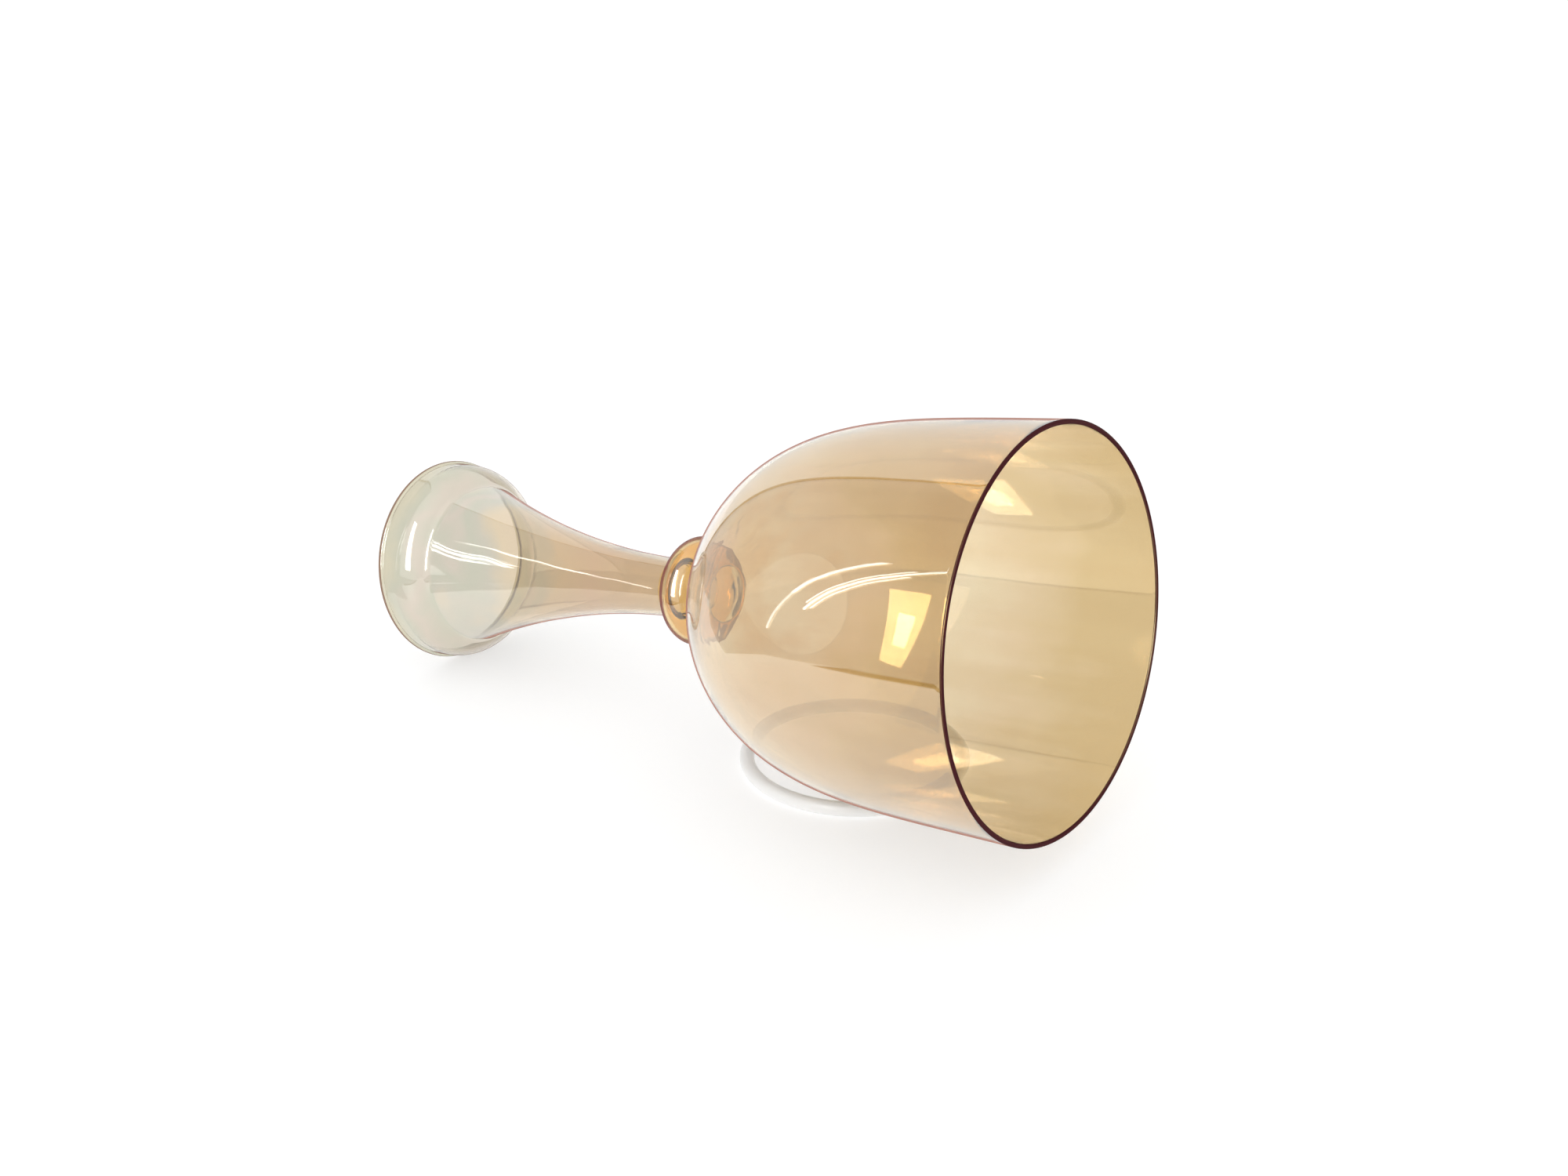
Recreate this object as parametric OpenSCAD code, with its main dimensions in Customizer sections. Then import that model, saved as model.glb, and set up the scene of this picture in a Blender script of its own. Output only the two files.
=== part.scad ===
// Handled glass singing bowl: a blown glass bell on a hollow knop and a trumpet-shaped
// hollow handle that opens into a cup-shaped foot. It lies on its side, with the rim of
// the foot on the floor and the belly of the bell on a soft round rest ring.
// Frame: +Z up, floor at z = 0, +X along the bowl towards its mouth, origin at the
// middle of the footprint. The blown parts are drawn upright, foot down, and laid over.

/* [Bell] */
// Outer radius of the bell at its mouth
mouth_r = 90; // [86:0.5:94]
// Depth of the bell from the plane of the mouth to the outside of its closed end
bell_depth = 183; // [180:0.5:186]
// Share of its radius that the bell loses over a depth of one mouth radius
bell_taper = 0.033; // [0.02:0.001:0.05]
// How long the wall stays straight before it rounds over
bell_straightness = 4.55; // [4:0.05:5]
// How blunt the closed end is
bell_bluntness = 1.6; // [1.5:0.05:1.9]
// Wall of the bell
bell_wall = 2.2; // [1.8:0.1:2.6]

/* [Knop] */
// Radius of the knop around the axis
knop_r = 26; // [25:0.5:28]
// Half of the knop's length along the axis
knop_half = 13.5; // [13:0.25:14]
// Middle of the knop, above the plane of the foot's rim
knop_z = 170.6; // [170:0.1:171]
// Wall of the knop
knop_wall = 2.4; // [2:0.1:3]
// Radius of the fused joint between the knop and the bell
neck_seal_r = 15; // [14:0.5:16]
// Radius of the fused joint on the stem's side of the knop
stem_seal_r = 17.5; // [16.5:0.5:18.5]

/* [Stem] */
// Outer radius of the stem where it leaves the knop
stem_r = 14; // [13.5:0.25:14.5]
// Height of the stem's thin end above the plane of the foot's rim
stem_z = 155.5; // [155:0.5:156]
// Outer radius of the stem at its flared end
flare_r = 39.4; // [38.5:0.1:40]
// Height of the flared end above the plane of the foot's rim
flare_z = 25.8; // [25.5:0.1:26.5]
// Widening per mm at the thin end
stem_slope = 0.019; // [0.01:0.001:0.03]
// Wall of the stem and of the foot
stem_wall = 2; // [1.8:0.1:2.2]

/* [Foot] */
// Outer radius of the foot cup just below its shoulder
foot_r = 50; // [49.5:0.25:50.5]
// Radius of the foot's rounded shoulder
shoulder_r = 15.7; // [15:0.1:16.5]
// Height at which the shoulder begins above the plane of the foot's rim
shoulder_z = 8.5; // [8:0.25:9]
// Radius of the hollow where the shoulder meets the stem
throat_r = 5; // [4.5:0.25:5.5]
// Extra radius of the foot cup at its rim
foot_spread = 0.3; // [0.1:0.1:0.6]
// Radius of the fire-polished bead around the rim
bead_r = 1.5; // [1.3:0.1:1.7]
// How far the bead stands proud of the wall
bead_proud = 1.2; // [1:0.1:1.3]

/* [Rest ring] */
// Outside diameter of the rest ring
ring_d = 110; // [106:1:114]
// Diameter of the ring's round section
ring_section = 7; // [6:0.1:7]
// How much of the section is flattened where the ring sits on the floor
ring_flat = 0.15; // [0.1:0.05:0.4]
// Distance of the ring's middle behind the middle of the mouth, along the floor
ring_behind = 114.8; // [108:0.5:120]
// How far the ring's middle lies to the side of the bowl's axis
ring_aside = 18.5; // [10:0.5:19]

/* [Pose] */
// Length of the bowl from the rim of its foot to its mouth
bowl_length = 365; // [364.5:0.1:365.5]
// Lean of the bowl's axis above the floor, mouth end higher
lean = 8.4; // [8.4:0.05:9]

/* [Hidden] */
$fn = 96;
steps = 40;                 // segments along each long curve
arc_steps = 12;             // segments around each small arc

amber = [0.93, 0.80, 0.58, 0.55];
gold = [0.86, 0.64, 0.30, 0.6];
peach = [0.92, 0.80, 0.66, 0.5];
pale = [0.88, 0.87, 0.78, 0.5];
milky = [0.93, 0.93, 0.92, 0.9];

lip_r = bell_wall / 2;      // the mouth's lip is a half round
land_depth = bell_depth_at(neck_seal_r);
neck_z = knop_top(neck_seal_r);
bead_c = foot_r + foot_spread + bead_proud - bead_r;
rim_top_r = foot_r + foot_spread;
rim_top_z = bead_r + sqrt(pow(bead_r, 2) - pow(rim_top_r - bead_c, 2));

// Laid over, the lowest point of the foot's bead touches the floor
rise = bead_c * cos(lean) - bead_r * sin(lean) + bead_r;
back_x = bead_r * cos(lean) - bead_c * sin(lean) - bead_r;
lip_c = mouth_r - lip_r;
front_x = (bowl_length - lip_r) * cos(lean) + lip_c * sin(lean) + lip_r;
shift_x = -(back_x + front_x) / 2;
ring_x = bowl_length * cos(lean) + shift_x - ring_behind;
ring_c = (ring_d - ring_section) / 2;

// Point on a circle
function on_arc(centre, r, a) = centre + r * [cos(a), sin(a)];
// Points around an arc from angle a to angle b
function arc(centre, r, a, b, count = arc_steps) =
    [for (i = [0:count]) on_arc(centre, r, a + (b - a) * i / count)];
function reversed(p) = [for (i = [len(p) - 1:-1:0]) p[i]];
// The first points of a path, and what is left of it after them
function first(p, count) = [for (i = [0:count - 1]) p[i]];
function rest(p, count) = [for (i = [count:len(p) - 1]) p[i]];
// A path moved sideways by w, to its right-hand side
function beside(p, w) = [for (i = [0:len(p) - 1])
    let (d = p[min(i + 1, len(p) - 1)] - p[max(i - 1, 0)])
    p[i] + w * [d[1], -d[0]] / norm(d)];

// Outer radius of the bell at depth s below its mouth
function bell_radius(s) =
    (mouth_r - bell_taper * s)
    * pow(1 - pow(s / bell_depth, bell_straightness), 1 / bell_bluntness);
// Depth at which the outside of the bell has radius r, near its closed end
function bell_depth_at(r) =
    bell_depth * pow(1 - pow(r / (mouth_r * (1 - bell_taper * bell_depth / mouth_r)),
                             bell_bluntness), 1 / bell_straightness);
// Depths that crowd together towards the closed end, where the curve is tightest
function crowded(last, count = steps) =
    [for (i = [0:count]) last * sin(90 * i / count)];
// Radius and height of the knop's surface on its bell side and on its stem side
function knop_top(r) = knop_z + knop_half * sqrt(1 - pow(r / knop_r, 2));
function knop_foot(r) = knop_z - knop_half * sqrt(1 - pow(r / knop_r, 2));
// Outer radius of the stem, x below its thin end
stem_len = stem_z - flare_z;
stem_curve = (flare_r - stem_r - stem_slope * stem_len) / pow(stem_len, 2);
function stem_radius(x) = stem_r + stem_slope * x + stem_curve * pow(x, 2);

// The throat is a hollow arc that touches the flared stem and the round shoulder
flare_slope = stem_slope + 2 * stem_curve * stem_len;
flare_dir = [flare_slope, -1] / norm([flare_slope, -1]);
flare_out = [1, flare_slope] / norm([flare_slope, -1]);
shoulder_c = [foot_r - shoulder_r, shoulder_z];
reach = [flare_r, flare_z] + throat_r * flare_out - shoulder_c;
run = -reach * flare_dir
    - sqrt(pow(reach * flare_dir, 2) - reach * reach + pow(shoulder_r + throat_r, 2));
throat_c = shoulder_c + reach + run * flare_dir;
throat_a = 180 + atan2(flare_out[1], flare_out[0]);
shoulder_a = atan2(throat_c[1] - shoulder_c[1], throat_c[0] - shoulder_c[0]);

// Outside of the stem, from its thin end to the end of its flare
stem_outer = [for (i = [0:steps])
    let (x = stem_len * i / steps) [stem_radius(x), stem_z - x]];
// Outside of the foot, from the end of the flare to the top of the rim's bead
foot_outer = concat(
    arc(throat_c, throat_r, throat_a, 180 + shoulder_a),
    rest(arc(shoulder_c, shoulder_r, shoulder_a, 0), 1),
    [[rim_top_r, rim_top_z]]);
handle_outer = concat(stem_outer, foot_outer);
// The stem ends where the foot begins, one wall thickness across
handle_inner = beside(handle_outer, stem_wall);

// Turns a profile of radius and height around the axis and lays it over into its pose
module blown(profile) {
    translate([shift_x, 0, rise])
        rotate([0, 90 - lean, 0])
            rotate_extrude()
                polygon(profile);
}

// Bell: thin even wall, blunt closed end with a flat land for the knop's joint
module bell() {
    outer = [for (s = crowded(land_depth - lip_r))
        [bell_radius(lip_r + s), bowl_length - lip_r - s]];
    inner = beside(outer, bell_wall);
    edge = [inner[0], outer[0]];
    lip = arc([(edge[0][0] + edge[1][0]) / 2, bowl_length - lip_r], lip_r, 180, 0);
    color(amber)
        blown(concat([edge[0]], first(rest(lip, 1), arc_steps - 1), outer,
                     [[0, bowl_length - land_depth], [0, inner[steps][1]]],
                     reversed(rest(inner, 1))));
}

// Neck seal: solid waist of fused glass between the bell and the knop
module neck_seal() {
    top = bowl_length - land_depth;
    waist_r = (top - neck_z) / 2;
    color(gold)
        blown(concat([[0, neck_z]],
                     reversed(arc([neck_seal_r, (top + neck_z) / 2], waist_r, 90, 270)),
                     [[0, top]]));
}

// Knop: flattened hollow ball, open towards the stem
module knop() {
    inner_r = knop_r - knop_wall;
    inner_half = knop_half - knop_wall;
    top_a = acos(neck_seal_r / knop_r);
    foot_a = acos(stem_seal_r / knop_r);
    hole_a = acos((stem_seal_r - 2 * knop_wall) / inner_r);
    roof_a = asin((neck_z - knop_wall - knop_z) / inner_half);
    outer = [for (i = [0:steps]) let (a = top_a - (top_a + foot_a) * i / steps)
        [knop_r * cos(a), knop_z + knop_half * sin(a)]];
    inner = [for (i = [0:steps]) let (a = roof_a - (roof_a + hole_a) * i / steps)
        [inner_r * cos(a), knop_z + inner_half * sin(a)]];
    color(gold)
        blown(concat([[0, neck_z]], outer,
                     [[inner[steps][0], outer[steps][1]]],
                     reversed(inner), [[0, inner[0][1]]]));
}

// Stem seal: fused collar with a hollow outside curve between the knop and the stem
module stem_seal() {
    top = knop_foot(stem_seal_r);
    bore = stem_r - stem_wall;
    span = [stem_seal_r - stem_r, top - stem_z];
    color(gold)
        blown(concat([[bore, top]],
                     [for (i = [0:arc_steps]) let (a = 90 * i / arc_steps)
                         [stem_seal_r - span[0] * sin(a), stem_z + span[1] * cos(a)]],
                     [[bore, stem_z]]));
}

// Stem: hollow trumpet that widens towards the foot
module stem() {
    inner = first(handle_inner, steps + 1);
    top = [[stem_r - stem_wall, stem_z]];
    color(peach)
        blown(concat(stem_outer, reversed(rest(inner, 1)), top));
}

// Foot cup: throat, round shoulder and short open cup with a bead around its rim
module foot_cup() {
    inner = rest(handle_inner, steps);
    last = inner[len(inner) - 1];
    bead_a = atan2(rim_top_z - bead_r, rim_top_r - bead_c);
    color(pale)
        blown(concat([handle_outer[steps]], foot_outer,
                     rest(arc([bead_c, bead_r], bead_r, bead_a, -180), 1),
                     [[bead_c - bead_r, last[1]]],
                     reversed(first(inner, len(inner) - 1))));
}

// Rest ring: soft round ring, slightly flattened where it sits on the floor
module rest_ring() {
    radius = ring_section / 2;
    centre_z = radius - ring_flat;
    color(milky)
        translate([ring_x, ring_aside, 0])
            rotate_extrude()
                intersection() {
                    translate([ring_c, centre_z]) circle(r = radius);
                    translate([ring_c - radius, 0]) square([2 * radius, 2 * radius]);
                }
}

bell();
neck_seal();
knop();
stem_seal();
stem();
foot_cup();
rest_ring();
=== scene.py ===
"""A handled singing bowl of coated blown glass, lying on its side on a soft rest ring.

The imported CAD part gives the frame: its bodies, its nodes and where they are. The blown glass
is turned here again as one smooth, continuous skin, piece by piece, so that light passes through
the fused joints as it does in real glass. Everything is in metres.
"""

from math import acos, atan2, cos, hypot, pi, radians, sin, sqrt

import bmesh
import bpy
from mathutils import Matrix, Vector, noise


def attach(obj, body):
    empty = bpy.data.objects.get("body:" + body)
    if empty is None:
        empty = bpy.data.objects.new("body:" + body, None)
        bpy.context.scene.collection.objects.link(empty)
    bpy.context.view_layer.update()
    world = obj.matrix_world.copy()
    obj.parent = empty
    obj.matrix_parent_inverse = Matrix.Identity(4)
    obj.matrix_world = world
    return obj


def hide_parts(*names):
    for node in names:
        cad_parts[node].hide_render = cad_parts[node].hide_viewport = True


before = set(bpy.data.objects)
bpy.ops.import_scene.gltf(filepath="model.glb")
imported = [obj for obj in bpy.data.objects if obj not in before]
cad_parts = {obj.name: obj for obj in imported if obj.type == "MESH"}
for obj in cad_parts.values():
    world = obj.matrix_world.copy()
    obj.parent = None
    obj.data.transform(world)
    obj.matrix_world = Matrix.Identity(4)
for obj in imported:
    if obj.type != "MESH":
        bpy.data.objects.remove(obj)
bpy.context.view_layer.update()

# ---------------------------------------------------------------------------------------------
# Driving sizes of the bowl, the same as in the CAD model
# ---------------------------------------------------------------------------------------------

MOUTH_R = 0.090
BELL_DEPTH = 0.183
BELL_TAPER = 0.033
BELL_STRAIGHTNESS = 4.55
BELL_BLUNTNESS = 1.6
BELL_WALL = 0.0022

KNOP_R = 0.026
KNOP_HALF = 0.0135
KNOP_Z = 0.1706
KNOP_WALL = 0.0024
NECK_SEAL_R = 0.015
STEM_SEAL_R = 0.0175

STEM_R = 0.014
STEM_Z = 0.1555
FLARE_R = 0.0394
FLARE_Z = 0.0258
STEM_SLOPE = 0.019
STEM_WALL = 0.002

FOOT_R = 0.050
SHOULDER_R = 0.0157
SHOULDER_Z = 0.0085
THROAT_R = 0.005
FOOT_SPREAD = 0.0003
BEAD_R = 0.0015
BEAD_PROUD = 0.0012

BOWL_LENGTH = 0.365
LEAN = radians(8.4)

LIP_R = BELL_WALL / 2
BEAD_C = FOOT_R + FOOT_SPREAD + BEAD_PROUD - BEAD_R

# The bowl is turned upright, foot down, then laid over so that its foot touches the floor
RISE = BEAD_C * cos(LEAN) - BEAD_R * sin(LEAN) + BEAD_R
BACK_X = BEAD_R * cos(LEAN) - BEAD_C * sin(LEAN) - BEAD_R
FRONT_X = (BOWL_LENGTH - LIP_R) * cos(LEAN) + (MOUTH_R - LIP_R) * sin(LEAN) + LIP_R
LAID_OVER = (
    Matrix.Translation((-(BACK_X + FRONT_X) / 2, 0, RISE))
    @ Matrix.Rotation(pi / 2 - LEAN, 4, "Y")
)

# ---------------------------------------------------------------------------------------------
# Profiles: lists of (radius, height) along the outside of the glass
# ---------------------------------------------------------------------------------------------


def bell_radius(s):
    """Outer radius of the bell at depth s below its mouth."""
    blunt = (1 - (s / BELL_DEPTH) ** BELL_STRAIGHTNESS) ** (1 / BELL_BLUNTNESS)
    return (MOUTH_R - BELL_TAPER * s) * blunt


def bell_depth_at(r):
    """Depth at which the outside of the bell has radius r, near its closed end."""
    share = r / (MOUTH_R * (1 - BELL_TAPER * BELL_DEPTH / MOUTH_R))
    return BELL_DEPTH * (1 - share**BELL_BLUNTNESS) ** (1 / BELL_STRAIGHTNESS)


def arc(centre, r, a, b, count=12):
    """Points around an arc from angle a to angle b, in degrees."""
    angles = [radians(a + (b - a) * i / count) for i in range(count + 1)]
    return [(centre[0] + r * cos(t), centre[1] + r * sin(t)) for t in angles]


def beside(path, w):
    """The path moved sideways by w, to its right-hand side."""
    moved = []
    for i, (r, z) in enumerate(path):
        before, after = path[max(i - 1, 0)], path[min(i + 1, len(path) - 1)]
        dr, dz = after[0] - before[0], after[1] - before[1]
        length = hypot(dr, dz)
        moved.append((r + w * dz / length, z - w * dr / length))
    return moved


def stem_profile(steps=90):
    """Outside of the stem, from its thin end down to the end of its flare, and its slope there."""
    length = STEM_Z - FLARE_Z
    curve = (FLARE_R - STEM_R - STEM_SLOPE * length) / length**2
    down = [length * i / steps for i in range(steps + 1)]
    slope = STEM_SLOPE + 2 * curve * length
    return [(STEM_R + STEM_SLOPE * x + curve * x * x, STEM_Z - x) for x in down], slope


def foot_profile(slope, steps=6):
    """Outside of the foot: hollow throat, round shoulder, then the wall down to the bead."""
    steep = hypot(slope, 1)
    along, out = (slope / steep, -1 / steep), (1 / steep, slope / steep)
    shoulder_c = (FOOT_R - SHOULDER_R, SHOULDER_Z)
    reach = (FLARE_R + THROAT_R * out[0] - shoulder_c[0],
             FLARE_Z + THROAT_R * out[1] - shoulder_c[1])
    dot = reach[0] * along[0] + reach[1] * along[1]
    run = -dot - sqrt(dot**2 - reach[0]**2 - reach[1]**2 + (SHOULDER_R + THROAT_R)**2)
    throat_c = (shoulder_c[0] + reach[0] + run * along[0],
                shoulder_c[1] + reach[1] + run * along[1])
    meets = atan2(throat_c[1] - shoulder_c[1], throat_c[0] - shoulder_c[0]) * 180 / pi
    leaves = 180 + atan2(out[1], out[0]) * 180 / pi
    rim_r = FOOT_R + FOOT_SPREAD
    rim_z = BEAD_R + sqrt(BEAD_R**2 - (rim_r - BEAD_C)**2)
    return (arc(throat_c, THROAT_R, leaves, 180 + meets, 16)
            + arc(shoulder_c, SHOULDER_R, meets, 0, 28)[1:]
            + [(FOOT_R + FOOT_SPREAD * i / steps, SHOULDER_Z + (rim_z - SHOULDER_Z) * i / steps)
               for i in range(1, steps + 1)])


# ---------------------------------------------------------------------------------------------
# Meshes
# ---------------------------------------------------------------------------------------------

RIPPLES_AROUND = 1.3        # how fast the unevenness changes around the bowl
ON_AXIS = 1e-6              # a point nearer to the axis than this is a pole
SAME_POINT = 1e-7


def ripple(angle, z, size, depth):
    """Slow unevenness of hand-worked glass at a point of the wall."""
    spot = Vector((cos(angle) * RIPPLES_AROUND, sin(angle) * RIPPLES_AROUND, z / size))
    return depth * noise.noise(spot)


def turned(name, sheets, body, uneven=None, around=192):
    """Turns sheets, each a (path, material) pair, into one piece and lays it over.

    Every path has the glass on its left, so that the faces look outwards. uneven is (size, depth)
    of the waves in the wall, which both sides of the glass share.
    """
    mesh = bmesh.new()
    slots = []
    for path, material in sheets:
        if material not in slots:
            slots.append(material)
        rings = []
        for r, z in path:
            if r < ON_AXIS:
                rings.append([mesh.verts.new((0, 0, z))])
                continue
            ring = []
            for i in range(around):
                a = 2 * pi * i / around
                wide = r + (ripple(a, z, *uneven) if uneven else 0)
                ring.append(mesh.verts.new((wide * cos(a), wide * sin(a), z)))
            rings.append(ring)
        for low, high in zip(rings, rings[1:]):
            for i in range(around):
                j = (i + 1) % around
                loop = [low[i % len(low)], low[j % len(low)],
                        high[j % len(high)], high[i % len(high)]]
                face = mesh.faces.new(list(dict.fromkeys(loop)))
                face.smooth = True
                face.material_index = slots.index(material)
    bmesh.ops.remove_doubles(mesh, verts=mesh.verts, dist=SAME_POINT)
    mesh.transform(LAID_OVER)
    data = bpy.data.meshes.new(name)
    mesh.to_mesh(data)
    mesh.free()
    for material in slots:
        data.materials.append(material)
    piece = bpy.data.objects.new(name, data)
    bpy.context.scene.collection.objects.link(piece)
    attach(piece, body)
    return piece


# ---------------------------------------------------------------------------------------------
# Materials
# ---------------------------------------------------------------------------------------------


def colour(r, g, b):
    """A colour with full alpha, from linear red, green and blue."""
    return (r, g, b, 1.0)


GLASS_IOR = 1.5
GLASS_GLOSS = 1.0           # specular level, twice that of bare glass
MIRROR_ROUGHNESS = 0.02     # of the thin metallic mirror that the coating makes
STREAKS = (45.0, 45.0, 4.0)         # noise scale of the streaks, drawn out along the axis
MARKS_SCALE = 60.0          # faint handling marks, which dull the gloss in patches
MARKS_ROUGHNESS = 0.05
WAVE_SCALE = 38.0           # ripple of hand-worked glass
WAVE_DEPTH = 0.0006
SWIRL_SCALE = 50.0          # where the hot joint has twisted the glass
SWIRL_DEPTH = 0.0013
LINE_ROUGHNESS = 0.6

SILICONE_IOR = 1.41
SILICONE_DEPTH = 0.006      # how far light spreads inside the ring
MILK_SCALE = 45.0           # faint clouds in the silicone
GRAIN_SCALE = 900.0         # its fine, dusty grain
GRAIN_DEPTH = 0.0002

BELL_WARM = colour(0.86, 0.66, 0.44)
BELL_PALE = colour(0.90, 0.79, 0.65)
BELL_ROSE = colour(0.91, 0.77, 0.61)
BELL_STRAW = colour(0.86, 0.73, 0.50)
BELL_GOLD = colour(0.79, 0.625, 0.40)
BELL_DEEP = colour(0.69, 0.52, 0.27)
KNOP_TINT = colour(0.86, 0.64, 0.26)
KNOP_WARM = colour(0.88, 0.62, 0.25)
STEM_TINT = colour(0.77, 0.63, 0.43)
STEM_ROSE = colour(0.78, 0.61, 0.44)
FOOT_TINT = colour(0.63, 0.59, 0.48)
FOOT_GREEN = colour(0.60, 0.59, 0.47)
FOOT_ROSE = colour(0.68, 0.60, 0.50)
FOOT_STRAW = colour(0.68, 0.63, 0.47)
# Outline colours: partly the coating's deeper colour seen edge on, partly painted shade for the
# dark edge of the glass
PINK_COAT_AND_SHADE_LINE = colour(0.42, 0.20, 0.15)
BROWN_COAT_AND_SHADE_LINE = colour(0.24, 0.13, 0.09)
MAROON_COAT_AND_SHADE_LINE = colour(0.20, 0.05, 0.05)
# The lip's colour: partly the coating's deep colour at the rim, partly painted shade for the dark
# rim of the glass
LIP_COAT_AND_SHADE = colour(0.06, 0.012, 0.015)
SILICONE_WHITE = colour(0.96, 0.95, 0.93)
SILICONE_GREY = colour(0.91, 0.91, 0.90)
WHITE = colour(1.0, 1.0, 1.0)


class Nodes:
    """A small helper that adds and links shader nodes."""

    def __init__(self, tree):
        self.tree = tree
        self.tree.nodes.clear()

    def add(self, kind, **settings):
        """Adds a node; each setting is one of its attributes or the value of an input."""
        node = self.tree.nodes.new("ShaderNode" + kind)
        for key, value in settings.items():
            if key not in node.inputs:
                setattr(node, key, value)
            else:
                node.inputs[key].default_value = value
        return node

    def link(self, source, target):
        """Joins an output to an input."""
        self.tree.links.new(source, target)

    def math(self, operation, *values):
        """A sum or product of values, each a number or another node's output."""
        node = self.add("Math", operation=operation)
        for socket, value in zip(node.inputs, values):
            if isinstance(value, bpy.types.NodeSocket):
                self.link(value, socket)
            else:
                socket.default_value = value
        return node.outputs[0]

    def noise(self, place, scale, detail, roughness=0.5, distortion=0.0):
        """Soft noise from 0 to 1."""
        node = self.add("TexNoise", Scale=scale, Detail=detail, Roughness=roughness,
                        Distortion=distortion)
        self.link(place, node.inputs["Vector"])
        return node.outputs[0]

    def ranged(self, value, before, after, smooth=False):
        """The value moved from the range before to the range after, and kept inside it."""
        node = self.add("MapRange", interpolation_type="SMOOTHSTEP" if smooth else "LINEAR")
        node.inputs["From Min"].default_value = before[0]
        node.inputs["From Max"].default_value = before[1]
        node.inputs["To Min"].default_value = after[0]
        node.inputs["To Max"].default_value = after[1]
        self.link(value, node.inputs["Value"])
        return node.outputs[0]

    def ramp(self, value, stops):
        """Colours at given values, blended in between."""
        first, last = stops[0][0], stops[-1][0]
        node = self.add("ValToRGB")
        self.link(self.ranged(value, (first, last), (0.0, 1.0)), node.inputs[0])
        marks = node.color_ramp.elements
        for _ in stops[2:]:
            marks.new(0.5)
        for mark, (where, tint) in zip(marks, stops):
            mark.position = (where - first) / (last - first)
            mark.color = tint
        return node.outputs[0]

    def bump(self, height, strength, distance, below=None):
        """A bumpy normal, on top of the normal below."""
        node = self.add("Bump", Strength=strength, Distance=distance)
        self.link(height, node.inputs["Height"])
        if below:
            self.link(below, node.inputs["Normal"])
        return node.outputs[0]

    def mix(self, share, a, b):
        """A blend of two colours."""
        node = self.add("Mix", data_type="RGBA")
        sockets = {s.name: s for s in node.inputs if s.type == "RGBA"}
        for socket, value in ((sockets["A"], a), (sockets["B"], b), (node.inputs[0], share)):
            if isinstance(value, bpy.types.NodeSocket):
                self.link(value, socket)
            else:
                socket.default_value = value
        return [s for s in node.outputs if s.type == "RGBA"][0]


def glass(name, coating, edge=None, rim=(0.8, 1.0), cover=0.8, wave=0.25, swirl=None,
          cloud=(14.0, 0.03), streak=0.0):
    """Coated clear glass.

    coating is a list of (height, tint) along the bowl's axis, from the foot. edge is the colour
    of the fine dark line painted along the outline: partly the coating seen edge on, partly
    painted shade for the dark edge of the glass. rim says how low an angle that takes, and cover
    how solid it looks. wave is the strength of the ripple. swirl is the stretch of the axis that
    the hot joint has twisted, from its worst end to its calm end.
    cloud is the scale of the drifts in the coating and how far along the axis they push its
    tints, and streak is how far the long, fine streaks along the axis push them.
    """
    material = bpy.data.materials.new(name)
    material.use_nodes = True
    n = Nodes(material.node_tree)
    out = n.add("OutputMaterial")
    shader = n.add("BsdfPrincipled")

    # Places on the glass are told as they were before the bowl was laid over
    upright = n.add("Mapping", vector_type="TEXTURE")
    upright.inputs["Location"].default_value = LAID_OVER.to_translation()
    upright.inputs["Rotation"].default_value = LAID_OVER.to_euler()
    n.link(n.add("TexCoord").outputs["Object"], upright.inputs["Vector"])
    place = upright.outputs[0]
    split = n.add("SeparateXYZ")
    n.link(place, split.inputs[0])
    axis = split.outputs["Z"]

    # The coating changes along the axis, with faint drifts in its thickness
    drift = n.ranged(n.noise(place, cloud[0], 3.0), (0.3, 0.7), (-cloud[1], cloud[1]))
    drift = n.math("ADD", drift, axis)
    if streak:
        drawn_out = n.add("Mapping")
        drawn_out.inputs["Scale"].default_value = STREAKS
        n.link(place, drawn_out.inputs["Vector"])
        lines = n.noise(drawn_out.outputs[0], 1.0, 3.0, 0.6)
        drift = n.math("ADD", drift, n.ranged(lines, (0.3, 0.7), (-streak, streak)))
    n.link(n.ramp(drift, coating), shader.inputs["Base Color"])

    # Faint handling marks and the ripple of hand-worked glass
    marks = n.noise(place, MARKS_SCALE, 6.0, 0.7)
    n.link(n.ranged(marks, (0.55, 0.8), (0.0, MARKS_ROUGHNESS)), shader.inputs["Roughness"])
    normal = n.bump(n.noise(place, WAVE_SCALE, 1.0), wave, WAVE_DEPTH)
    if swirl:
        twist = n.noise(place, SWIRL_SCALE, 1.0, 0.5, 2.0)
        height = n.math("MULTIPLY", twist, n.ranged(axis, swirl, (1.0, 0.0), smooth=True))
        normal = n.bump(height, 1.0, SWIRL_DEPTH, normal)
    n.link(normal, shader.inputs["Normal"])
    shader.inputs["Transmission Weight"].default_value = 1.0
    shader.inputs["IOR"].default_value = GLASS_IOR
    shader.inputs["Specular IOR Level"].default_value = GLASS_GLOSS
    surface = shader.outputs[0]

    # Seen edge on, the coating looks deeper; a dark, dull line is mixed in there, partly for that
    # and partly as painted shade for the dark edge of the glass
    if edge:
        facing = n.add("LayerWeight", Blend=0.5).outputs["Facing"]
        line = n.add("BsdfPrincipled", Roughness=LINE_ROUGHNESS)
        line.inputs["Base Color"].default_value = edge
        line.inputs["Specular IOR Level"].default_value = 0.0
        both = n.add("MixShader")
        n.link(n.ranged(facing, rim, (0.0, cover), smooth=True), both.inputs[0])
        n.link(surface, both.inputs[1])
        n.link(line.outputs[0], both.inputs[2])
        surface = both.outputs[0]
    n.link(surface, out.inputs[0])
    return material


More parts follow.
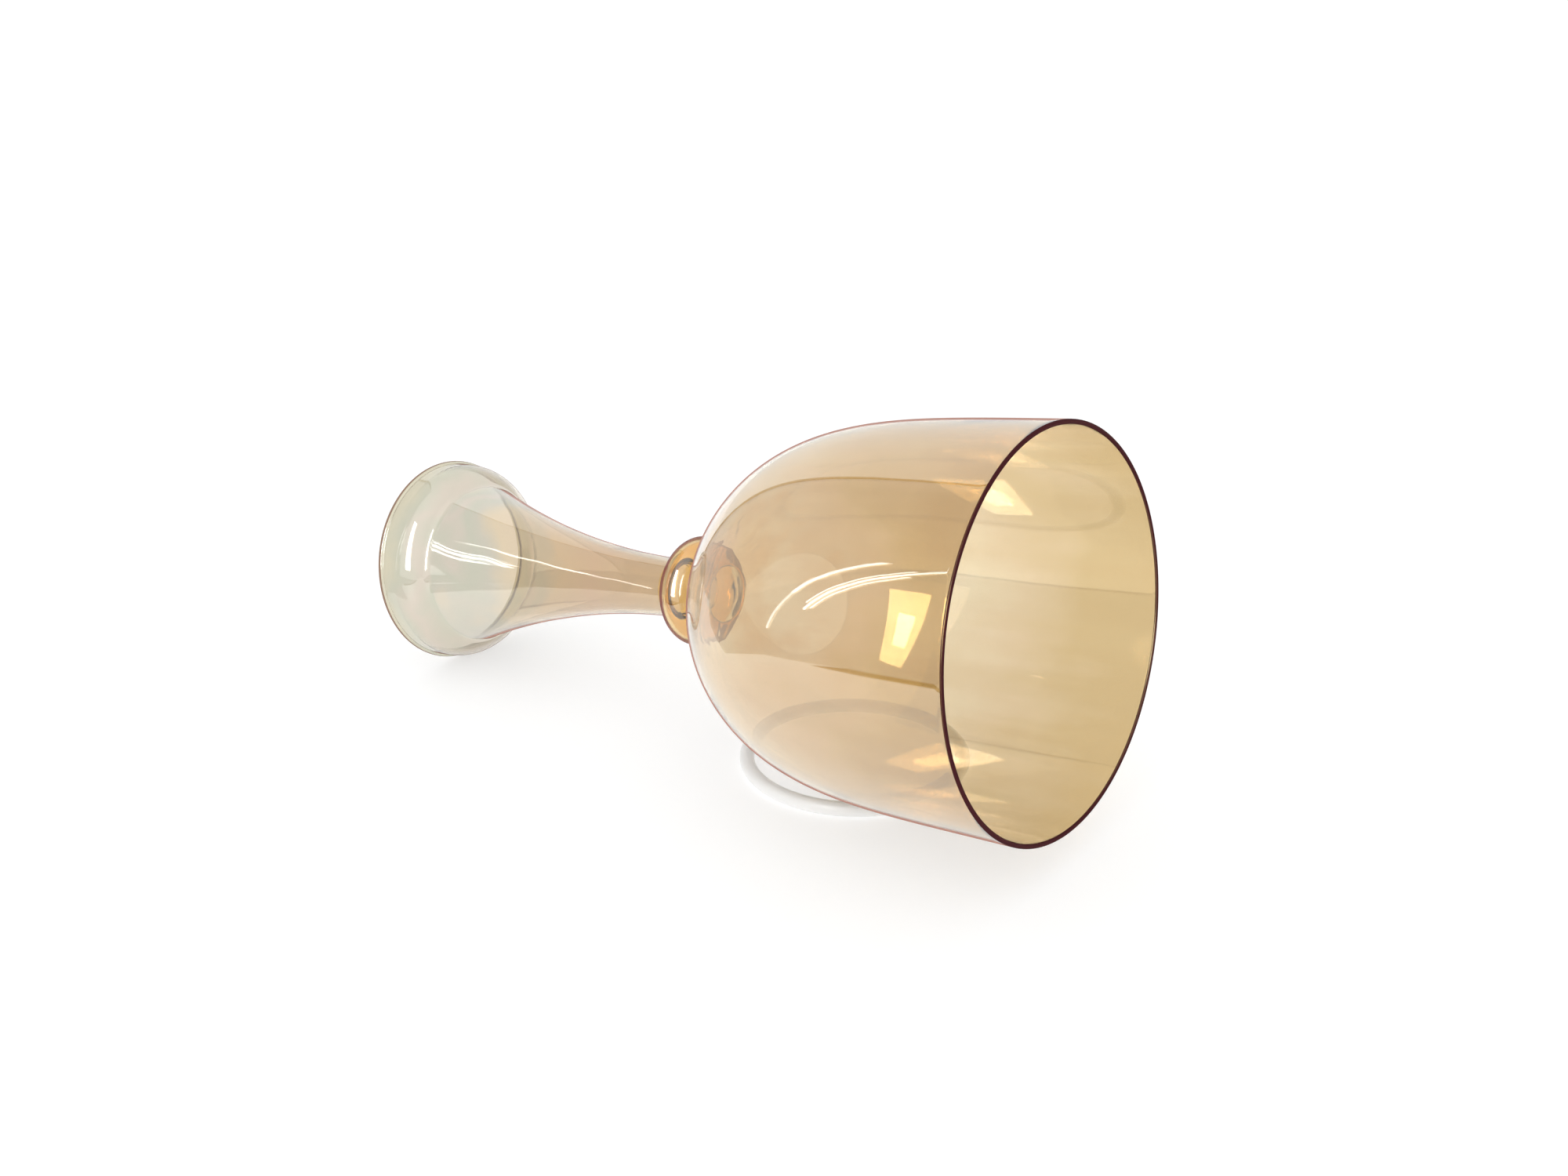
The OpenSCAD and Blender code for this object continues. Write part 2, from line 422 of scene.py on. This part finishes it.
def mirrored(material, weight, ior):
    """Adds the thin metallic mirror of the coating to a glass from glass()."""
    shader = material.node_tree.nodes["Principled BSDF"]
    shader.inputs["Coat Weight"].default_value = weight
    shader.inputs["Coat IOR"].default_value = ior
    shader.inputs["Coat Roughness"].default_value = MIRROR_ROUGHNESS


def silicone(name):
    """Translucent white silicone, a little milky, with a soft sheen, fine dust and a faint painted
    glow.
    """
    material = bpy.data.materials.new(name)
    material.use_nodes = True
    n = Nodes(material.node_tree)
    out = n.add("OutputMaterial")
    shader = n.add("BsdfPrincipled")
    n.link(shader.outputs[0], out.inputs[0])
    place = n.add("TexCoord").outputs["Object"]
    milk = n.noise(place, MILK_SCALE, 4.0)
    n.link(n.mix(milk, SILICONE_WHITE, SILICONE_GREY), shader.inputs["Base Color"])
    grain = n.noise(place, GRAIN_SCALE, 3.0)
    n.link(n.ranged(grain, (0.0, 1.0), (0.28, 0.5)), shader.inputs["Roughness"])
    n.link(n.bump(grain, 0.15, GRAIN_DEPTH), shader.inputs["Normal"])
    shader.inputs["Subsurface Weight"].default_value = 0.5
    shader.inputs["Subsurface Radius"].default_value = (SILICONE_DEPTH,) * 3
    shader.inputs["Subsurface Scale"].default_value = 1.0
    shader.inputs["Transmission Weight"].default_value = 0.2
    shader.inputs["IOR"].default_value = SILICONE_IOR
    # A faint painted glow: the ring gives off light of its own, standing for the lit table's light
    # passing through it
    shader.inputs["Emission Color"].default_value = WHITE
    shader.inputs["Emission Strength"].default_value = 0.02
    return material


bell_coating = [(0.17, BELL_WARM), (0.20, BELL_PALE), (0.22, BELL_ROSE), (0.25, BELL_STRAW),
                (0.29, BELL_GOLD), (0.355, BELL_DEEP)]
knop_coating = [(0.15, KNOP_TINT), (0.17, KNOP_WARM), (0.19, KNOP_TINT)]
handle_coating = [(0.0, FOOT_STRAW), (0.01, FOOT_GREEN), (0.02, FOOT_ROSE), (0.03, FOOT_GREEN),
                  (0.04, FOOT_TINT), (0.055, STEM_TINT), (0.10, STEM_ROSE), (0.15, STEM_TINT)]
FINE = (32.0, 0.009)        # drifts of the coating on the foot and the knop
HOT_JOINT = (0.186, 0.200)  # stretch of the bell that its joint with the knop has twisted
ALWAYS = (0.0, 0.02)        # a rim that covers the whole surface with its painted dark line

# The outlines of bell, knop, stem and foot get a painted dark line, partly coating seen edge on
# and partly painted shade
bell_outside = glass("amber_glass", bell_coating, PINK_COAT_AND_SHADE_LINE, rim=(0.83, 0.91), cover=0.9,
                     swirl=HOT_JOINT, streak=0.02)
bell_inside = glass("amber_glass_inside", bell_coating, swirl=HOT_JOINT, streak=0.02)
knop_outside = glass("gold_glass", knop_coating, MAROON_COAT_AND_SHADE_LINE, rim=(0.42, 0.58), wave=0.6,
                     cloud=FINE)
knop_inside = glass("gold_glass_inside", knop_coating, wave=2.0, cloud=FINE)
stem_outside = glass("peach_glass", handle_coating, PINK_COAT_AND_SHADE_LINE, rim=(0.78, 0.88), wave=0.5)
stem_inside = glass("peach_glass_inside", handle_coating, wave=0.5)
foot_outside = glass("pale_glass", handle_coating, BROWN_COAT_AND_SHADE_LINE, rim=(0.83, 0.90), cloud=FINE)
foot_inside = glass("pale_glass_inside", handle_coating, cloud=FINE)
# The outward band of the bead is covered with the dark line: partly deeper coating at the rim,
# partly painted shade for the foot's dark outline
foot_coat_and_shade_line = glass("foot_coat_and_shade_line", handle_coating, BROWN_COAT_AND_SHADE_LINE, rim=ALWAYS)
# The lip is mostly covered with the dark line: partly deeper coating, partly painted shade for the
# glass's dark rim
lip_coat_and_shade_glass = glass("lip_coat_and_shade_glass", bell_coating, LIP_COAT_AND_SHADE, rim=ALWAYS, cover=0.9)
for coated in (bell_outside, bell_inside, knop_outside):
    mirrored(coated, 1.0, 2.0)
for coated in (stem_outside, stem_inside):
    mirrored(coated, 0.9, 2.0)
for coated in (foot_outside, foot_inside):
    mirrored(coated, 0.5, 1.8)

# ---------------------------------------------------------------------------------------------
# Glass pieces
# ---------------------------------------------------------------------------------------------


def shell_of_bell():
    """Bell: outer skin up to the lip, round lip, inner skin down to the closed end."""
    steps = 110
    reach = bell_depth_at(NECK_SEAL_R) - LIP_R
    depths = [LIP_R + reach * sin(pi / 2 * i / steps) for i in range(steps + 1)]
    outer = [(bell_radius(s), BOWL_LENGTH - s) for s in depths]
    inner = beside(outer, BELL_WALL)
    lip = arc(((outer[0][0] + inner[0][0]) / 2, BOWL_LENGTH - LIP_R), LIP_R, 0, 180, 14)
    lip[0], lip[-1] = outer[0], inner[0]
    inner.append((0.0, inner[-1][1]))
    piece = turned("bell_glass", [(outer[::-1], bell_outside), (lip, lip_coat_and_shade_glass),
                                  (inner, bell_inside)], "bowl", uneven=(0.06, 0.0001))
    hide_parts("bell")


def shell_of_knop():
    """Knop: flattened ball, and the round hollow inside it with its open floor."""
    inner_r, inner_half = KNOP_R - KNOP_WALL, KNOP_HALF - KNOP_WALL
    top, foot = acos(NECK_SEAL_R / KNOP_R), -acos(STEM_SEAL_R / KNOP_R)
    floor = -acos((STEM_SEAL_R - 2 * KNOP_WALL) / inner_r)

    def bulge(r, half, a, b, count=56):
        turns = [a + (b - a) * i / count for i in range(count + 1)]
        return [(r * cos(t), KNOP_Z + half * sin(t)) for t in turns]

    outer = bulge(KNOP_R, KNOP_HALF, foot, top)
    hollow = bulge(inner_r, inner_half, pi / 2, floor)
    hollow.append((hollow[-1][0], outer[0][1]))
    piece = turned("knop_glass", [(outer, knop_outside), (hollow, knop_inside)], "bowl")
    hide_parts("knop")
    return outer


def shells_of_seals(knop_outer):
    """The waist between bell and knop, and the collar between knop and stem."""
    low, high = knop_outer[-1][1], BOWL_LENGTH - bell_depth_at(NECK_SEAL_R)
    waist = arc((NECK_SEAL_R, (low + high) / 2), (high - low) / 2, 270, 90)
    neck = turned("neck_seal_glass", [(waist, knop_inside)], "bowl")
    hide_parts("neck_seal")
    top, bore = knop_outer[0][1], STEM_R - STEM_WALL
    steps = 12
    turns = [pi / 2 * (1 - i / steps) for i in range(steps + 1)]
    collar = [(STEM_SEAL_R - (STEM_SEAL_R - STEM_R) * sin(t), STEM_Z + (top - STEM_Z) * cos(t))
              for t in turns]
    inside = [(STEM_SEAL_R - 2 * KNOP_WALL, top), (bore, top), (bore, STEM_Z)]
    seal = turned("stem_seal_glass", [(collar, knop_inside), (inside, knop_inside)], "bowl")
    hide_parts("stem_seal")


LINE_FROM, LINE_TO = -28, 32    # degrees around the bead that carry the foot's painted dark outline, partly coating and partly painted shade


def shells_of_handle():
    """Stem and foot share one wall, so they are cut from one outer and one inner path."""
    stem_outer, slope = stem_profile()
    foot_outer = foot_profile(slope)
    outer = stem_outer + foot_outer
    inner = beside(outer, STEM_WALL)
    cut = len(stem_outer) - 1
    inner[0] = (STEM_R - STEM_WALL, STEM_Z)
    stem = turned("stem_glass", [(outer[cut::-1], stem_outside),
                                 (inner[:cut + 1], stem_inside)], "bowl", uneven=(0.02, 0.00008))
    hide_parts("stem")
    turn = atan2(outer[-1][1] - BEAD_R, outer[-1][0] - BEAD_C) * 180 / pi
    under = arc((BEAD_C, BEAD_R), BEAD_R, -180, LINE_FROM, 18)
    # The outward part of the bead carries the painted dark outline of the foot
    edge = arc((BEAD_C, BEAD_R), BEAD_R, LINE_FROM, LINE_TO, 10)
    over = arc((BEAD_C, BEAD_R), BEAD_R, LINE_TO, turn, 4)
    wall = inner[cut:-1] + [(BEAD_C - BEAD_R, inner[-1][1]), (BEAD_C - BEAD_R, BEAD_R)]
    foot = turned("foot_glass", [(outer[:cut - 1:-1], foot_outside), (wall, foot_inside),
                                 (under, foot_inside), (edge, foot_coat_and_shade_line),
                                 (over, foot_outside)], "bowl")
    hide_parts("foot_cup")


shell_of_bell()
shells_of_seals(shell_of_knop())
shells_of_handle()

# ---------------------------------------------------------------------------------------------
# Rest ring: the CAD solid stays, with a silicone material
# ---------------------------------------------------------------------------------------------

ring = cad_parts["rest_ring"]
ring.data.materials.clear()
ring.data.materials.append(silicone("white_silicone"))
for face in ring.data.polygons:
    face.use_smooth = True

# ---------------------------------------------------------------------------------------------
# Floor, light and camera
# ---------------------------------------------------------------------------------------------

FLOOR_REACH = 12.0
TABLE_TONE = colour(0.43, 0.43, 0.43)
TABLE_GLOW = 0.60           # the white table is lit from below as well
STUDIO_LIGHT = 1.1
STUDIO_FRONT = 1.6
FRONT_DIRECTION = (-80, 45)         # azimuth and elevation of the brightest part of the studio
FRONT_SPREAD = (75, 25)     # degrees from there, where the extra light begins and is full

CARD_TONE = colour(0.62, 0.61, 0.60)
EDGE_TONE = colour(0.12, 0.05, 0.0)
EDGE_WIDTH = 0.024
WALL_X = -0.6
WALL_BACK = 0.16
WALL_LOW, WALL_TOP = -0.2, 3.0
ROOM_FRONT = -3.0
ROOM_RIGHT = 1.5
CARD_Z = 0.001              # the card on the floor lies just above the table

SOFTBOX_Y = -1.0            # the bright middle hangs just in front of the softbox
SOFTBOX_MIDDLE_Y = -0.999
TUBE_Y = -0.4

CAMERA_AT = (0.5293, -0.6653, 0.4432)
CAMERA_HEADING = radians(36.64)
CAMERA_PITCH = radians(26.53)
CAMERA_SHIFT = 0.075        # the bowl sits above the middle of the picture
CAMERA_REACH = 100.0
SENSOR_MM = 36
LENS_MM = 45


def sheet(name, outline, material):
    """A flat sheet of the stage."""
    data = bpy.data.meshes.new(name)
    data.from_pydata(outline, [], [list(range(len(outline)))])
    data.materials.append(material)
    piece = bpy.data.objects.new(name, data)
    bpy.context.scene.collection.objects.link(piece)
    return piece


def floor():
    """The white table, so large that its edge is out of sight."""
    reach = FLOOR_REACH
    table = bpy.data.materials.new("lit_white_table")
    table.use_nodes = True
    shader = table.node_tree.nodes["Principled BSDF"]
    shader.inputs["Base Color"].default_value = TABLE_TONE
    shader.inputs["Roughness"].default_value = 0.6
    shader.inputs["Emission Color"].default_value = WHITE
    shader.inputs["Emission Strength"].default_value = TABLE_GLOW
    square = [(-reach, -reach, 0), (reach, -reach, 0), (reach, reach, 0), (-reach, reach, 0)]
    sheet("floor", square, table)


def towards(azimuth, elevation):
    """Unit vector in a direction given in degrees."""
    a, e = radians(azimuth), radians(elevation)
    return (cos(a) * cos(e), sin(a) * cos(e), sin(e))


def surroundings():
    """A plain white studio all around, brighter above and in front of the bowl."""
    world = bpy.data.worlds.new("studio")
    bpy.context.scene.world = world
    world.use_nodes = True
    n = Nodes(world.node_tree)
    white = n.add("Background")
    n.link(white.outputs[0], n.add("OutputWorld").inputs[0])
    close = n.add("VectorMath", operation="DOT_PRODUCT")
    n.link(n.add("TexCoord").outputs["Generated"], close.inputs[0])
    close.inputs[1].default_value = towards(*FRONT_DIRECTION)
    spread = [cos(radians(angle)) for angle in FRONT_SPREAD]
    bright = n.ranged(close.outputs["Value"], spread, (STUDIO_LIGHT, STUDIO_FRONT), smooth=True)
    n.link(bright, white.inputs["Strength"])


def card(name, outline, tone):
    """A card outside the picture, which only shows as a reflection in the glass."""
    material = bpy.data.materials.new(name)
    material.use_nodes = True
    n = Nodes(material.node_tree)
    glow = n.add("Emission", Color=tone, Strength=1.0)
    n.link(glow.outputs[0], n.add("OutputMaterial").inputs[0])
    piece = sheet(name, outline, material)
    piece.visible_camera = False
    piece.visible_diffuse = False
    piece.visible_shadow = False


def wall(name, y_from, y_to, tone):
    """An upright card on the left, between two places in depth."""
    card(name, [(WALL_X, y_from, WALL_LOW), (WALL_X, y_to, WALL_LOW),
                (WALL_X, y_to, WALL_TOP), (WALL_X, y_from, WALL_TOP)], tone)


def dark_cards():
    """The unlit side of the room: a wall to the left, the floor there, and their wooden edges."""
    wall("left_wall", WALL_BACK, ROOM_FRONT, CARD_TONE)
    wall("wall_edge", WALL_BACK + EDGE_WIDTH, WALL_BACK, EDGE_TONE)
    near = [(-0.15, -0.44), (0.05, -0.52), (0.5, -0.75), (ROOM_RIGHT, -1.3)]
    around = [(ROOM_RIGHT, ROOM_FRONT), (WALL_X, ROOM_FRONT), (WALL_X, -0.12), (-0.30, -0.12),
              (-0.15, -0.15), (-0.19, -0.30)]
    card("left_floor", [(x, y, CARD_Z) for x, y in near + around], CARD_TONE)
    # The glass sees the floor at a low angle, so this edge is wider to look as wide
    beyond = [(x, y + 3 * EDGE_WIDTH) for x, y in near[::-1]]
    card("floor_edge", [(x, y, CARD_Z) for x, y in near + beyond], EDGE_TONE)


def lamp(name, x, y, z, radiance):
    """A flat lamp at depth y, from x[0] to x[1] and z[0] to z[1], facing the bowl."""
    size = (x[1] - x[0], z[1] - z[0])
    light = bpy.data.lights.new(name, "AREA")
    light.shape = "RECTANGLE"
    light.size, light.size_y = size
    light.energy = radiance * pi * size[0] * size[1]
    lamp_object = bpy.data.objects.new(name, light)
    bpy.context.scene.collection.objects.link(lamp_object)
    lamp_object.location = ((x[0] + x[1]) / 2, y, (z[0] + z[1]) / 2)
    lamp_object.rotation_euler = (pi / 2, 0, 0)
    lamp_object.visible_camera = False
    lamp_object.visible_diffuse = False


def camera():
    """The camera at the photo's angle."""
    data = bpy.data.cameras.new("camera")
    data.sensor_width = SENSOR_MM
    data.lens = LENS_MM
    data.shift_y = CAMERA_SHIFT
    data.clip_end = CAMERA_REACH
    thing = bpy.data.objects.new("camera", data)
    bpy.context.scene.collection.objects.link(thing)
    thing.location = CAMERA_AT
    thing.rotation_euler = (pi / 2 - CAMERA_PITCH, 0, CAMERA_HEADING)
    bpy.context.scene.camera = thing


floor()
surroundings()
dark_cards()
lamp("softbox", (0.05, 0.43), SOFTBOX_Y, (0.20, 1.7), 9.0)
lamp("softbox_middle", (0.13, 0.30), SOFTBOX_MIDDLE_Y, (0.50, 1.1), 18.0)
lamp("tube_left", (-0.266, -0.262), TUBE_Y, (0.22, 0.46), 5.0)
lamp("tube_middle", (-0.256, -0.249), TUBE_Y, (0.19, 0.52), 5.0)
lamp("tube_right", (-0.242, -0.238), TUBE_Y, (0.20, 0.42), 5.0)
lamp("tube_far", (-0.338, -0.324), TUBE_Y, (0.25, 0.50), 4.0)
lamp("tube_far_low", (-0.336, -0.326), TUBE_Y, (0.07, 0.25), 2.5)
camera()

scene = bpy.context.scene
scene.view_settings.view_transform = "Standard"
scene.cycles.max_bounces = 32
scene.cycles.transmission_bounces = 32
scene.cycles.glossy_bounces = 12
scene.cycles.use_denoising = True
